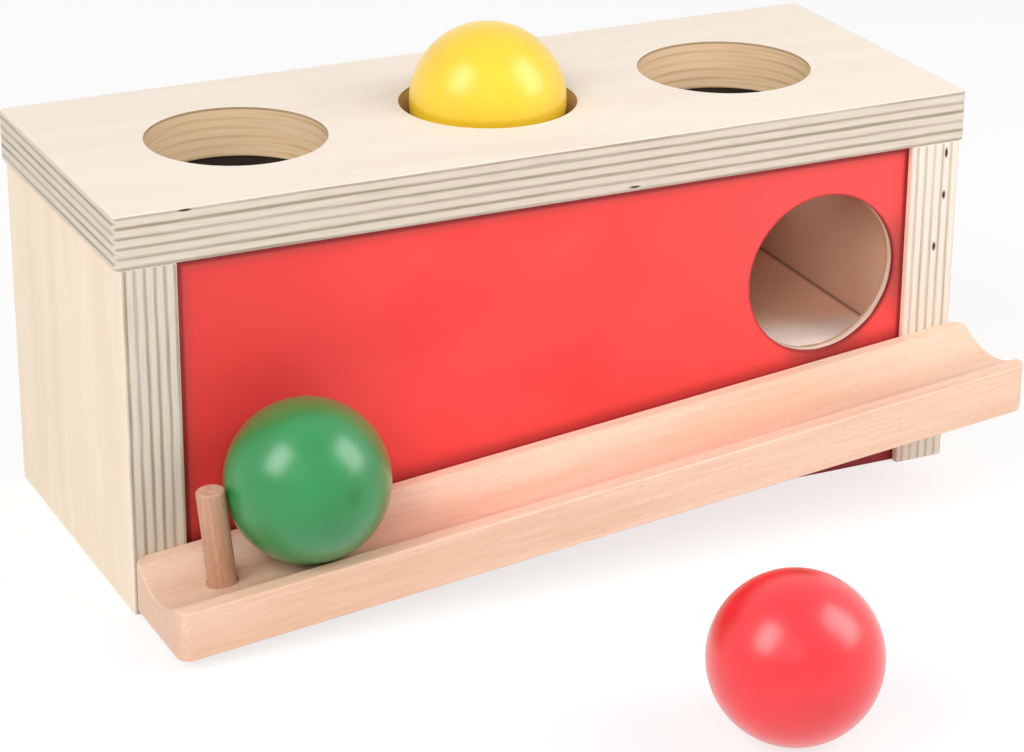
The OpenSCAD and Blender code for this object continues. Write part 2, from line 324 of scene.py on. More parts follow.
def birchPly(name, faceAxis, grainAxis, firstBand, look, gaps=(), innerSide=0, jointAt=None):
    # Sanded birch plywood under a thin matt lacquer: pale faces with faint figure, softly banded edges
    material, tree, shader = newMaterial(name, {"IOR": 1.5, "Specular IOR Level": 0.2})
    acrossAxis = 3 - faceAxis - grainAxis
    place = millimetres(tree)
    at = axesOf(tree, place)
    wayOut = wayOutOf(tree)

    def grain(part, warp=0.0):
        along, across, through, finer = plyGrain[part]
        lengths = {grainAxis: along, acrossAxis: across, faceAxis: through}
        return cloudy(tree, place, [lengths[axis] for axis in (x, y, z)], finer, warp)

    faceShare = add(tree, "ShaderNodeMath", (wayOut[faceAxis],), operation="ABSOLUTE")
    faceShare = add(tree, "ShaderNodeMapRange", (faceShare, 0.55, 0.8), **smoothly)

    # Faces: rotary cut veneer, its figure in long lazy contours, and fine pores along the grain
    contour = add(tree, "ShaderNodeMath", (grain("figure", 0.4), 38), operation="MULTIPLY")
    contour = add(tree, "ShaderNodeMath", (contour,), operation="SINE")
    contour = add(tree, "ShaderNodeMath", (contour, 0.07), operation="MULTIPLY")
    fibre = grain("fibre")
    shade = summed(tree, contour, (
        (grain("tone"), 0.3, 0.75, 0.05, 0.7),
        (fibre, 0.35, 0.7, -0.12, 0.14),
        (grain("pore"), 0.66, 0.78, 0.0, 0.18),
    ))
    faceLayers = [(shade, look["faceDark"])]
    if innerSide:
        # The faces that look into the box are raw, and painted warmer and lighter to stand in for the light
        # bounced round inside
        inner = add(tree, "ShaderNodeMath", (wayOut[faceAxis], float(innerSide)), operation="MULTIPLY")
        inner = add(tree, "ShaderNodeMapRange", (inner, 0.3, 0.6, 0.0, 0.85), **smoothly)
        for wall, inward in ((insideFrom, 1), (insideTo, -1)):
            within = add(tree, "ShaderNodeMapRange", (at[y], wall, wall + inward), **smoothly)
            inner = add(tree, "ShaderNodeMath", (inner, within), operation="MULTIPLY")
        faceLayers.append((inner, look["inner"]))
    if jointAt is not None:
        # Painted light and shade: the ramp is pale at the exit, where light comes in, and browner further
        # in, in shade
        paintedShadeShare = add(tree, "ShaderNodeMapRange", (at[y], look["paintedShadeFrom"], look["paintedShadeTo"]), **smoothly)
        # Shadow and glue where the sheet meets the side panel at its right end
        away = add(tree, "ShaderNodeMath", (jointAt, at[x]), operation="SUBTRACT")
        jointShare = add(tree, "ShaderNodeMapRange", (away, 0.4, 3.0, 0.75, 0.0), **smoothly)
        faceLayers += [(paintedShadeShare, look["deep"]), (jointShare, look["joint"])]
    face = layered(tree, look["faceLight"], faceLayers)

    # Edges: plies lie crosswise in turn, so darker end grain shows in every other one
    depth = add(tree, "ShaderNodeMath", (at[faceAxis], firstBand + 0.35), operation="SUBTRACT")
    depth = add(tree, "ShaderNodeMath", (grain("waviness"), 0.7, depth), operation="MULTIPLY_ADD")
    wave = add(tree, "ShaderNodeMath", (depth, 2 * math.pi / look["bandSpacing"]), operation="MULTIPLY")
    wave = add(tree, "ShaderNodeMath", (wave,), operation="COSINE")
    band = 0.0
    for axis, side in ((acrossAxis, 1), (grainAxis, -1)):
        share = add(tree, "ShaderNodeMath", (wayOut[axis], 2.0), operation="POWER")
        dark = add(tree, "ShaderNodeMapRange", (wave, 0.1 * side, 0.95 * side), **smoothly)
        band = add(tree, "ShaderNodeMath", (dark, share, band), operation="MULTIPLY_ADD")
    strength = grain("strength")
    bandShare = add(tree, "ShaderNodeMapRange", (strength, 0.3, 0.7, 0.5, 1.0), **smoothly)
    band = add(tree, "ShaderNodeMath", (band, bandShare), operation="MULTIPLY")
    lines = grain("line")
    band = summed(tree, band, ((lines, 0.35, 0.7, -0.14, 0.22),))
    dots = add(tree, "ShaderNodeMapRange", (grain("speckle"), 0.5, 0.78, 0.0, 0.35), **smoothly)
    dots = add(tree, "ShaderNodeMath", (band, dots), operation="MULTIPLY")
    seam = add(tree, "ShaderNodeMath", (wave,), operation="ABSOLUTE")
    seam = add(tree, "ShaderNodeMapRange", (seam, 0.02, 0.22, 0.35, 0.0), **smoothly)
    seam = add(tree, "ShaderNodeMath", (seam, strength), operation="MULTIPLY")
    # Hole walls are tinted warmer, and darker near the upper rim
    hole = add(tree, "ShaderNodeAttribute", attribute_name="holeWall").outputs["Fac"]
    wall = add(tree, "ShaderNodeMath", (hole, 0.5), operation="MULTIPLY")
    rim = (at[faceAxis], firstBand - 0.6, firstBand - 0.2, 0.0, 0.6)
    rim = add(tree, "ShaderNodeMapRange", rim, **smoothly)
    rim = add(tree, "ShaderNodeMath", (hole, rim), operation="MULTIPLY")
    edgeLayers = [(band, look["edgeDark"]), (dots, look["glue"]), (seam, look["glue"])]
    edgeLayers += [(wall, look["holeWall"]), (rim, look["holeRim"])]

    # Small open gaps between the plies' veneers, painted dark for the shade inside them
    hollow = 0.0
    for gapAt, (width, depth, height) in gaps:
        away = distanceFrom(tree, place, gapAt, (1 / width, 1 / depth, 1 / height))
        away = add(tree, "ShaderNodeMapRange", (away, 0.5, 1.3, 1.0, 0.0), **smoothly)
        hollow = add(tree, "ShaderNodeMath", (hollow, away), operation="MAXIMUM")
    if gaps:
        edgeLayers.append((hollow, look["gap"]))
    edge = layered(tree, look["edgeLight"], edgeLayers)

    rough = add(tree, "ShaderNodeMath", (fibre, 0.12, 0.62), operation="MULTIPLY_ADD")
    rough = add(tree, "ShaderNodeMath", (faceShare, -0.08, rough), operation="MULTIPLY_ADD")
    # Saw marks and seams can be felt on the edges, the faces are sanded nearly flat
    relief = add(tree, "ShaderNodeMath", (lines, 0.5), operation="MULTIPLY")
    for dip, share in ((seam, -1.2), (hollow, -4.0)):
        relief = add(tree, "ShaderNodeMath", (dip, share, relief), operation="MULTIPLY_ADD")
    edgeShare = add(tree, "ShaderNodeMath", (1.0, faceShare), operation="SUBTRACT")
    relief = add(tree, "ShaderNodeMath", (relief, edgeShare), operation="MULTIPLY")
    relief = add(tree, "ShaderNodeMath", (fibre, 0.12, relief), operation="MULTIPLY_ADD")
    dressShader(tree, shader, layered(tree, edge, [(faceShare, face)]), rough, relief, 0.5, 0.12)
    return material


# Beech
beechLook = {"light": "#f2cfb8", "dark": "#e4b99c", "fleck": "#cf9f7f", "end": "#dfb9a3", "seam": "#8a5538"}
pegLook = {"light": "#d2a58c", "dark": "#bc8a6b", "fleck": "#9e6c4c", "end": "#dfb8a2"}
# Millimetres along the grain, across it and through it, then the number of finer layers
beechGrain = {
    "years": (260, 7, 7, 2),
    "tone": (120, 12, 12, 2),
    "fibre": (18, 0.55, 0.55, 3),
    "fleck": (3.4, 0.36, 0.36, 0.5),
    "ray": (0.8, 0.45, 2.2, 2),
}


def planedBeech(name, along, look, endAxis, flecks=1.0, shine=0.42, pegSeam=None):
    # Planed and oiled beech: pinkish, fine straight lines along the piece and short darker flecks
    material, tree, shader = newMaterial(name, {"IOR": 1.5, "Specular IOR Level": 0.35})
    # The pattern turns with the piece, so its own x runs along the grain
    run = add(tree, "ShaderNodeMapping", {"Vector": millimetres(tree), "Rotation": along})

    def grain(part, warp=0.0):
        *sizes, finer = beechGrain[part]
        return cloudy(tree, run, sizes, finer, warp)

    lines = add(tree, "ShaderNodeMath", (grain("years", 0.3), 60), operation="MULTIPLY")
    lines = add(tree, "ShaderNodeMath", (lines,), operation="SINE")
    lines = add(tree, "ShaderNodeMath", (lines, 0.1), operation="MULTIPLY")
    fibre = grain("fibre")
    shade = summed(tree, lines, ((grain("tone"), 0.3, 0.72, 0.08, 0.85), (fibre, 0.32, 0.7, -0.16, 0.2)))
    dashes = add(tree, "ShaderNodeMapRange", (grain("fleck"), 0.6, 0.76, 0.0, 0.4 * flecks), **smoothly)
    rays = add(tree, "ShaderNodeMapRange", (grain("ray"), 0.35, 0.7), **smoothly)
    endWood = layered(tree, look["end"], [(rays, look["dark"])])
    endShare = add(tree, "ShaderNodeMath", (wayOutOf(tree)[endAxis],), operation="ABSOLUTE")
    endShare = add(tree, "ShaderNodeMapRange", (endShare, 0.6, 0.9, 0.0, 0.75), **smoothly)
    layers = [(shade, look["dark"]), (dashes, look["fleck"]), (endShare, endWood)]
    if pegSeam:
        # Glue and shade darken the wood round the peg's foot
        away = distanceFrom(tree, run, pegSeam["at"], (1, 1, 0))
        away = add(tree, "ShaderNodeMapRange", (away, pegSeam["from"], pegSeam["to"], 0.6, 0.0), **smoothly)
        layers.append((away, look["seam"]))
    rough = add(tree, "ShaderNodeMath", (fibre, 0.14, shine - 0.05), operation="MULTIPLY_ADD")
    height = add(tree, "ShaderNodeMath", (dashes, -0.5, fibre), operation="MULTIPLY_ADD")
    dressShader(tree, shader, layered(tree, look["light"], layers), rough, height, 0.4, 0.06)
    return material


# Paint, rubber and steel
def ballPaint(name, code, deepCode, coat):
    # Sprayed gloss enamel on a turned ball: deep even colour, a faint orange peel in the highlights
    settings = {"Roughness": 0.35, "IOR": 1.5, "Coat Weight": coat, "Coat Roughness": 0.26}
    material, tree, shader = newMaterial(name, settings)
    place = millimetres(tree)
    cloud = add(tree, "ShaderNodeMapRange", (cloudy(tree, place, (14, 14, 14)), 0.3, 0.7), **smoothly)
    peel = cloudy(tree, place, (1.6, 1.6, 1.6), 1)
    specks = cloudy(tree, place, (0.7, 0.7, 0.7), 0)
    specks = add(tree, "ShaderNodeMapRange", (specks, 0.78, 0.84), **smoothly)
    height = add(tree, "ShaderNodeMath", (specks, 1.5, peel), operation="MULTIPLY_ADD")
    dressShader(tree, shader, layered(tree, code, [(cloud, deepCode)]), None, height, 0.25, 0.05)
    return material


def redPaintedPly(name, frontY, corners, troughLine, hole, look):
    # Satin paint rolled on thin plywood: the wood's fibres show faintly, and the exit hole's sawn wall
    # is raw but for the paint that ran over its front
    material, tree, shader = newMaterial(name, {"IOR": 1.5})
    place = millimetres(tree)
    at = axesOf(tree, place)
    run = cloudy(tree, place, (6, 6, 6))
    run = add(tree, "ShaderNodeMath", (run, -1.0, at[y]), operation="MULTIPLY_ADD")
    runEnd = frontY + look["runOver"] - 0.5
    ranOver = add(tree, "ShaderNodeMapRange", (run, runEnd + 0.15, runEnd - 0.15), **smoothly)
    painted = add(tree, "ShaderNodeMath", (wayOutOf(tree)[y],), operation="ABSOLUTE")
    painted = add(tree, "ShaderNodeMapRange", (painted, 0.45, 0.7), **smoothly)
    painted = add(tree, "ShaderNodeMath", (painted, ranOver), operation="MAXIMUM")
    fibre = cloudy(tree, place, (40, 6, 1.1), 3)
    cloud = cloudy(tree, place, (45, 20, 30))
    # A cloudy deeper tone in the paint, and painted shade towards the left end and painted light towards
    # the right
    reach = look["reach"]
    layers = []
    for pattern, over in (
        ((cloud, 0.3, 0.7), "deepPaint"),
        ((fibre, 0.55, 0.8, 0.0, 0.25), "deepPaint"),
        ((at[x], *reach["paintedShadeLeftEnd"]), "paintedShadeLeftEnd"),
        ((at[x], *reach["paintedLightRightEnd"]), "paintedLightRightEnd"),
    ):
        layers.append((add(tree, "ShaderNodeMapRange", pattern, **smoothly), look[over]))

    # Distances from what stands before or beside the panel
    leftX, rightX, topZ = corners
    toLeft = add(tree, "ShaderNodeMath", (at[x], leftX + look["shadeLinesFrom"]), operation="SUBTRACT")
    toTop = add(tree, "ShaderNodeMath", (topZ - look["shadeLinesFrom"], at[z]), operation="SUBTRACT")
    toLeftOrTop = add(tree, "ShaderNodeMath", (toLeft, toTop), operation="MINIMUM")
    toRight = add(tree, "ShaderNodeMath", (rightX, at[x]), operation="SUBTRACT")
    nearest = add(tree, "ShaderNodeMath", (toLeftOrTop, toRight), operation="MINIMUM")
    toTrough = add(tree, "ShaderNodeMath", (at[x], -troughLine["rise"], at[z]), operation="MULTIPLY_ADD")
    toTrough = add(tree, "ShaderNodeMath", (toTrough, troughLine["height"]), operation="SUBTRACT")
    toTrough = add(tree, "ShaderNodeMath", (toTrough,), operation="ABSOLUTE")
    toHole = distanceFrom(tree, place, (hole["x"], 0, hole["z"]), (1, 0, 1))
    toHole = add(tree, "ShaderNodeMath", (toHole, hole["radius"]), operation="SUBTRACT")

    # Painted shade along its edges and in the narrow places round the exit hole
    paintedEdgeShade = toTrough
    for away, narrower in ((toLeftOrTop, look["narrowerLeftOrTop"]), (toRight, look["narrowerRight"])):
        away = add(tree, "ShaderNodeMath", (away, narrower), operation="MULTIPLY")
        paintedEdgeShade = add(tree, "ShaderNodeMath", (paintedEdgeShade, away), operation="MINIMUM")
    paintedEdgeShade = add(tree, "ShaderNodeMapRange", (paintedEdgeShade, *reach["paintedEdgeShade"]), **smoothly)
    narrow = add(tree, "ShaderNodeMath", (nearest, toTrough), operation="MINIMUM")
    narrow = add(tree, "ShaderNodeMath", (narrow, toHole), operation="ADD")
    narrow = add(tree, "ShaderNodeMapRange", (narrow, *reach["paintedShadeByHole"]), **smoothly)
    paintedEdgeShade = add(tree, "ShaderNodeMath", (paintedEdgeShade, narrow), operation="MAXIMUM")
    layers.append((paintedEdgeShade, look["paintedShadeRed"]))
    # Painted shade: dark lines at the side panels and the board, where there are dark joints too, at the
    # foot under the trough, over the trough and round the hole
    for away, where in ((nearest, "edges"), (at[z], "foot"), (toTrough, "trough"), (toHole, "hole")):
        share = add(tree, "ShaderNodeMapRange", (away, *reach[where]), **smoothly)
        layers.append((share, look["jointAndShadeDark"]))
    paint = layered(tree, look["paint"], layers)

    # The hole's wall: raw veneer lines, and painted shade on its back half, as brown as the inside
    rawLines = cloudy(tree, place, (9, 0.4, 9))
    rawLines = add(tree, "ShaderNodeMapRange", (rawLines, 0.35, 0.65), **smoothly)
    back = (at[y], frontY + look["backFrom"], frontY + look["backTo"])
    back = add(tree, "ShaderNodeMapRange", back, **smoothly)
    raw = layered(tree, look["raw"], [(rawLines, look["rawDark"]), (back, look["rawBackShade"])])
    rough = add(tree, "ShaderNodeMath", (painted, -0.14, 0.6), operation="MULTIPLY_ADD")
    height = add(tree, "ShaderNodeMath", (cloud, 0.5, fibre), operation="MULTIPLY_ADD")
    dressShader(tree, shader, layered(tree, raw, [(painted, paint)]), rough, height, 0.35, 0.08)
    return material


def cutRubber(name):
    # Matt black rubber sheet, cut to rings: a soft grey bloom and a fine skin
    settings = {"Roughness": 0.8, "IOR": 1.52, "Specular IOR Level": 0.15}
    material, tree, shader = newMaterial(name, settings)
    place = millimetres(tree)
    bloom = add(tree, "ShaderNodeMapRange", (cloudy(tree, place, (11, 11, 11), 3), 0.35, 0.7), **smoothly)
    skin = cloudy(tree, place, (0.4, 0.4, 0.4))
    dressShader(tree, shader, layered(tree, "#140f0b", [(bloom, "#231b15")]), None, skin, 0.5, 0.05)
    return material


def zincPlatedSteel(name):
    # Bright zinc on small pressed screws: bluish grey, slightly cloudy
    material, tree, shader = newMaterial(name, {"Metallic": 1.0})
    cloud = cloudy(tree, millimetres(tree), (0.9, 0.9, 0.9), 3)
    shade = add(tree, "ShaderNodeMapRange", (cloud, 0.3, 0.7), **smoothly)
    rough = add(tree, "ShaderNodeMapRange", (cloud, 0.3, 0.7, 0.24, 0.42), **smoothly)
    dressShader(tree, shader, layered(tree, "#b4b8bd", [(shade, "#9a9fa6")]), rough)
    return material


print("materials ready")


# The box
boardSizes = {"edge": 0.5, "cornerRadius": 1.5, "holeRadius": 28.2, "firstBand": 0.5}
# Each open gap has its place and its width, depth and height
boardGaps = [((20.4, 0, 126.3), (2.2, 1, 0.35)), ((166.3, 0, 111.9), (2.0, 1, 0.4))]
boardLow, boardHigh = span("top_board")
boardPly = birchPly("birch ply top", z, x, boardHigh.z - boardSizes["firstBand"], plyLook, boardGaps, -1)
boardLoops = [rectangle(boardLow, boardHigh, boardSizes["cornerRadius"])]
for node in ringNodes:
    boardLoops.append(roundHole(middle(node).x, middle(node).y, boardSizes["holeRadius"]))
topBoard = slab("topBoard", boardLoops, level(boardLow.z), level(boardHigh.z), boardSizes["edge"], boardPly)

panelSizes = {
    "edge": 0.4,
    "corner": 0.7,
    "groove": 4.0,
    "grooveCorner": 0.15,
    "mouth": 0.8,
    "thinEdge": 0.3,
    "thinCorner": 0.5,
    "leftFirstBand": 1.3,
    "rightFirstBand": 2.0,
}
rightGaps = [
    ((279.1, 0, 107.0), (0.6, 1, 1.8)),
    ((279.0, 0, 92.7), (0.65, 1, 1.5)),
    ((276.4, 0, 75.3), (0.65, 1, 1.6)),
]
frontLow, frontHigh = span("front_panel")
backLow, backHigh = span("back_panel")


def sidePanel(name, node, look, firstBand, gaps=()):
    # Grooves for the thin panels run the full height of the inner face
    low, high = span(node)
    corner, mouth, bottom = panelSizes["corner"], panelSizes["mouth"], panelSizes["grooveCorner"]
    isLeft = low.x < frontHigh.x / 2
    inner, inward = (high.x, 1) if isLeft else (low.x, -1)
    deep = inner - inward * panelSizes["groove"]
    groove = []
    for start, end in ((frontLow.y, frontHigh.y), (backLow.y, backHigh.y)):
        groove += [(inner, start, mouth), (deep, start, bottom), (deep, end, bottom), (inner, end, mouth)]
    corners = [(low.x, low.y, corner), (high.x, low.y, corner)]
    backCorners = [(high.x, high.y, corner), (low.x, high.y, corner)]
    corners += groove + backCorners if isLeft else backCorners + groove[::-1]
    ply = birchPly(name + " birch ply", x, z, low.x + firstBand, look, gaps, inward)
    return slab(name, [roundedLoop(corners)], level(low.z), level(high.z), panelSizes["edge"], ply)


leftPanel = sidePanel("leftSidePanel", "left_side_panel", sidePlyLook, panelSizes["leftFirstBand"])
rightPanel = sidePanel(
    "rightSidePanel", "right_side_panel", rightPlyLook, panelSizes["rightFirstBand"], rightGaps)

exitHole = {"x": 236.5, "z": 71.1, "radius": 26.5}
redLook = {
    "paint": "#fe4948",
    "deepPaint": "#f73f3e",
    # Painted shade at the left end and painted light at the right end
    "paintedShadeLeftEnd": "#e93d3b",
    "paintedLightRightEnd": "#ff4c4b",
    # Painted shade along the edges and round the exit hole
    "paintedShadeRed": "#b2463f",
    # Painted shade in dark lines, with dark joints at the side panels and the board
    "jointAndShadeDark": "#8f1520",
    "raw": "#fae6d6",
    "rawDark": "#e6cab4",
    # Painted shade on the back half of the hole's wall
    "rawBackShade": "#cfa083",
    "backFrom": 3.0,
    "backTo": 4.0,
    "runOver": 1.3,
    "shadeLinesFrom": 1.3,
    "narrowerLeftOrTop": 1.5,
    "narrowerRight": 3.0,
    # From and to in millimetres, then the share of the colour at both
    "reach": {
        "paintedShadeLeftEnd": (15, 120, 1.0, 0.0),
        "paintedLightRightEnd": (150, 230, 0.0, 1.0),
        "paintedEdgeShade": (0.0, 7.5, 0.6, 0.0),
        "paintedShadeByHole": (2.0, 12.0, 0.95, 0.0),
        "edges": (0.4, 1.6, 0.85, 0.0),
        "foot": (3.6, 4.8, 0.95, 0.0),
        "trough": (0.3, 1.4, 0.5, 0.0),
        "hole": (0.1, 1.1, 0.8, 0.0),
    },
}
# The trough's back edge as seen on the panel behind it: rise along x and height at x = 0
troughLine = {"rise": 0.10064, "height": 17.1}
redCorners = (span("left_side_panel")[1].x, span("right_side_panel")[0].x, boardLow.z)
redPly = redPaintedPly(
    "satin red paint on thin ply", frontLow.y, redCorners, troughLine, exitHole, redLook)
# Outlines drawn in x and z, thickness towards the front
upright = [Vector((1, 0, 0)), Vector((0, 0, 1)), Vector((0, -1, 0))]
frontLoop = rectangle((frontLow.x, frontLow.z), (frontHigh.x, frontHigh.z), panelSizes["thinCorner"])
frontLoops = [frontLoop, roundHole(exitHole["x"], exitHole["z"], exitHole["radius"])]
thinEdge = panelSizes["thinEdge"]
frontPanel = slab(
    "frontPanel", frontLoops, level(-frontHigh.y), level(-frontLow.y), thinEdge, redPly, upright)

backPly = birchPly("thin ply back", y, x, (backLow.y + backHigh.y) / 2, thinPlyLook, (), -1)
backLoop = rectangle((backLow.x, backLow.z), (backHigh.x, backHigh.z), panelSizes["thinCorner"])
backPanel = slab("backPanel", [backLoop], level(-backHigh.y), level(-backLow.y), thinEdge, backPly, upright)
print("box made")


# The ramp inside
rampSizes = {"thickness": 5.0, "low": 44.0, "fall": 2.5, "tilt": 0.5, "edge": 0.25, "corner": 0.3}
rampLow, rampHigh = span("ramp_board")
fall = math.tan(math.radians(rampSizes["fall"])) / math.cos(math.radians(rampSizes["tilt"]))
tilt = math.tan(math.radians(rampSizes["tilt"]))
rampMiddleY = (rampLow.y + rampHigh.y) / 2
rampDrop = rampSizes["thickness"] / math.cos(math.radians(rampSizes["fall"]))


def rampAt(drop):
    lowest = rampSizes["low"] - drop
    return lambda u, v: (lowest + (rampHigh.x - u) * fall + (v - rampMiddleY) * tilt, -fall, tilt)


rampPly = birchPly("thin ply ramp", z, x, (rampLow.z + rampHigh.z) / 2, rampPlyLook, jointAt=rampHigh.x)
rampLoop = rectangle(rampLow, rampHigh, rampSizes["corner"])
rampBoard = slab("rampBoard", [rampLoop], rampAt(rampDrop), rampAt(0), rampSizes["edge"], rampPly)
print("ramp made")


# Trough and peg
troughSizes = {
    "thickness": 16.0,
    "slope": 5.7466,
    "low": 19.1,
    "cornerRadius": 4.5,
    "grooveMiddle": 20.5,
    "grooveHalf": 16.0,
    "grooveRadius": 28.6,
    "lipDrop": 0.5,
    "edge": 0.7,
    "lipRounding": 0.35,
    "cornerSteps": 10,
    "endSteps": 110,
    "endMargin": 0.25,
}
troughLow, troughHigh = span("trough")
slope = math.radians(troughSizes["slope"])
troughWidth = troughHigh.y - troughLow.y
grooveRadius = troughSizes["grooveRadius"]
grooveDepth = grooveRadius - math.sqrt(grooveRadius ** 2 - troughSizes["grooveHalf"] ** 2)


def grooveTop(v):
    # Height of the trough's top over its upper back edge, square to the slope, with a softened lip
    lip = troughSizes["lipDrop"] * (v - troughHigh.y) / troughWidth
    reach = min(abs(v + troughSizes["grooveMiddle"]), grooveRadius * 0.98)
    groove = grooveRadius - grooveDepth - math.sqrt(grooveRadius ** 2 - reach ** 2)
    soft = troughSizes["lipRounding"]
    mix = max(soft - abs(lip - groove), 0) / soft
    return min(lip, groove) - mix * mix * soft / 4


def troughTop(u, v):
    step = 0.05
    slant = (grooveTop(v + step) - grooveTop(v - step)) / (2 * step * math.cos(slope))
    height = troughSizes["low"] + u * math.tan(slope) + grooveTop(v) / math.cos(slope)
    return height, math.tan(slope), slant


def troughUnder(u, v):
    height = troughSizes["low"] + u * math.tan(slope) - troughSizes["thickness"] / math.cos(slope)
    return height, math.tan(slope), 0


def troughLoop():
    # One end from front to back, then the other end back again
    radius, cornerSteps = troughSizes["cornerRadius"], troughSizes["cornerSteps"]
    around = [math.pi / 2 * i / cornerSteps for i in range(cornerSteps + 1)]
    half = []
    for a in around:
        inX, inY = radius * (1 - math.sin(a)), radius * (1 - math.cos(a))
        half.append((inX, troughLow.y + inY, math.sin(a), -math.cos(a)))
    inset, endSteps = radius + troughSizes["endMargin"], troughSizes["endSteps"]
    for i in range(endSteps + 1):
        half.append((0, troughLow.y + inset + (troughWidth - 2 * inset) * i / endSteps, 1, 0))
    for a in around:
        inX, inY = radius * (1 - math.cos(a)), radius * (1 - math.sin(a))
        half.append((inX, troughHigh.y - inY, math.cos(a), math.sin(a)))
    right = [(troughHigh.x - cut, v, outU, outV) for cut, v, outU, outV in half]
    left = [(troughLow.x + cut, v, -outU, outV) for cut, v, outU, outV in half]
    return right + left[::-1]


pegSizes = {"diameter": 8.7, "seat": 8.0, "show": 30.5, "place": 20.5, "edge": 0.7}
# The peg's foot, along and across the trough
pegAlong = troughSizes["low"] * math.sin(slope) + pegSizes["place"]
pegSeam = {"at": (pegAlong, -troughSizes["grooveMiddle"], 0), "from": 4.4, "to": 5.6}
beech = planedBeech("planed beech", (0, slope, 0), beechLook, x, pegSeam=pegSeam)
trough = slab("trough_bar", [troughLoop()], troughUnder, troughTop, troughSizes["edge"], beech, ruled=True)

pegBeech = planedBeech("turned beech dowel", (0, slope - math.pi / 2, 0), pegLook, z, 1.3, 0.5)
upSlope = Vector((math.cos(slope), 0, math.sin(slope)))
offSlope = Vector((-math.sin(slope), 0, math.cos(slope)))
pegFoot = Vector((0, -troughSizes["grooveMiddle"], troughSizes["low"])) + upSlope * pegSizes["place"]
pegFoot -= offSlope * (grooveDepth + pegSizes["seat"])
pegAxes = [upSlope, Vector((0, 1, 0)), offSlope]
pegLength = pegSizes["seat"] + pegSizes["show"]
pegRod = [roundRod(pegSizes["diameter"] / 2)]
peg = slab("stopPeg", pegRod, level(0), level(pegLength), pegSizes["edge"], pegBeech, pegAxes, pegFoot)
print("trough and peg made")


# Pieces made by Geometry Nodes
def newTree(name, inputs):
    tree = bpy.data.node_groups.new(name, "GeometryNodeTree")
    for label, kind in {"Geometry": "Geometry", **inputs}.items():
        tree.interface.new_socket(label, in_out="INPUT", socket_type="NodeSocket" + kind)
    tree.interface.new_socket("Geometry", in_out="OUTPUT", socket_type="NodeSocketGeometry")
    return tree, add(tree, "NodeGroupInput").outputs


def finishTree(tree, shape, material):
    # Real geometry with its material, as the last two steps
    real = add(tree, "GeometryNodeRealizeInstances", (shape,))
    dressed = add(tree, "GeometryNodeSetMaterial", {"Geometry": real, "Material": material})
    add(tree, "NodeGroupOutput", (dressed,))


def grow(name, tree, values, mesh=None):
    # Runs a tree once and keeps what it made as a plain mesh
    piece = bpy.data.objects.new(name, mesh or bpy.data.meshes.new(name))
    bpy.context.scene.collection.objects.link(piece)
    modifier = piece.modifiers.new(name, "NODES")
    modifier.node_group = tree
    for item in tree.interface.items_tree:
        if item.item_type == "SOCKET" and item.in_out == "INPUT" and item.name in values:
            modifier[item.identifier] = values[item.name]
    made = piece.evaluated_get(bpy.context.evaluated_depsgraph_get())
    mesh = bpy.data.meshes.new_from_object(made)
    piece.modifiers.clear()
    piece.data = mesh
    return piece


# A turned ball: a cube pushed out to a sphere, with the slight unevenness of the lathe
ballTree, ballIn = newTree("turnedBall", {
    "Radius": "Float",
    "Centre": "Vector",
    "Unevenness": "Float",
    "Fineness": "Int",
    "Paint": "Material",
})
cube = add(ballTree, "GeometryNodeMeshCube", {"Size": (2, 2, 2)})
fine = add(ballTree, "GeometryNodeSubdivideMesh", {"Mesh": cube, "Level": ballIn["Fineness"]})
spot = add(ballTree, "GeometryNodeInputPosition")
# Spacing by the tangent keeps the squares alike over the whole ball
spot = add(ballTree, "ShaderNodeVectorMath", {0: spot, "Scale": math.pi / 4}, operation="SCALE")
spot = add(ballTree, "ShaderNodeVectorMath", (spot,), operation="TANGENT")
ray = add(ballTree, "ShaderNodeVectorMath", (spot,), operation="NORMALIZE")
lathe = add(ballTree, "ShaderNodeTexNoise", {"Vector": ray, "Scale": 1.3, "Detail": 1.0})
swell = add(ballTree, "ShaderNodeMath", (lathe, 1.0), operation="SUBTRACT")
swell = (swell, ballIn["Unevenness"], ballIn["Radius"])
swell = add(ballTree, "ShaderNodeMath", swell, operation="MULTIPLY_ADD")
reached = add(ballTree, "ShaderNodeVectorMath", {0: ray, "Scale": swell}, operation="SCALE")
reached = add(ballTree, "ShaderNodeVectorMath", (reached, ballIn["Centre"]), operation="ADD")
ballShape = add(ballTree, "GeometryNodeSetPosition", {"Geometry": fine, "Position": reached})
ballShape = add(ballTree, "GeometryNodeSetShadeSmooth", {"Geometry": ballShape})
finishTree(ballTree, ballShape, ballIn["Paint"])

ballSizes = {"radius": 25 * mm, "unevenness": 0.04 * mm, "fineness": 5}
ballPaints = {
    "yellow_ball": ballPaint("gloss yellow enamel", "#f8d434", "#f6cc2a", 0.45),
    "green_ball": ballPaint("gloss green enamel", "#128845", "#10813f", 0.75),
    "red_ball": ballPaint("gloss red enamel", "#f2242f", "#ea202b", 0.75),
}
balls = {}
for node, paint in ballPaints.items():
    low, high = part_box(node)
    balls[node] = grow(node + "_turned", ballTree, {
        "Radius": ballSizes["radius"],
        "Centre": (low + high) / 2,
        "Unevenness": ballSizes["unevenness"],
        "Fineness": ballSizes["fineness"],
        "Paint": paint,
    })
print("balls made")


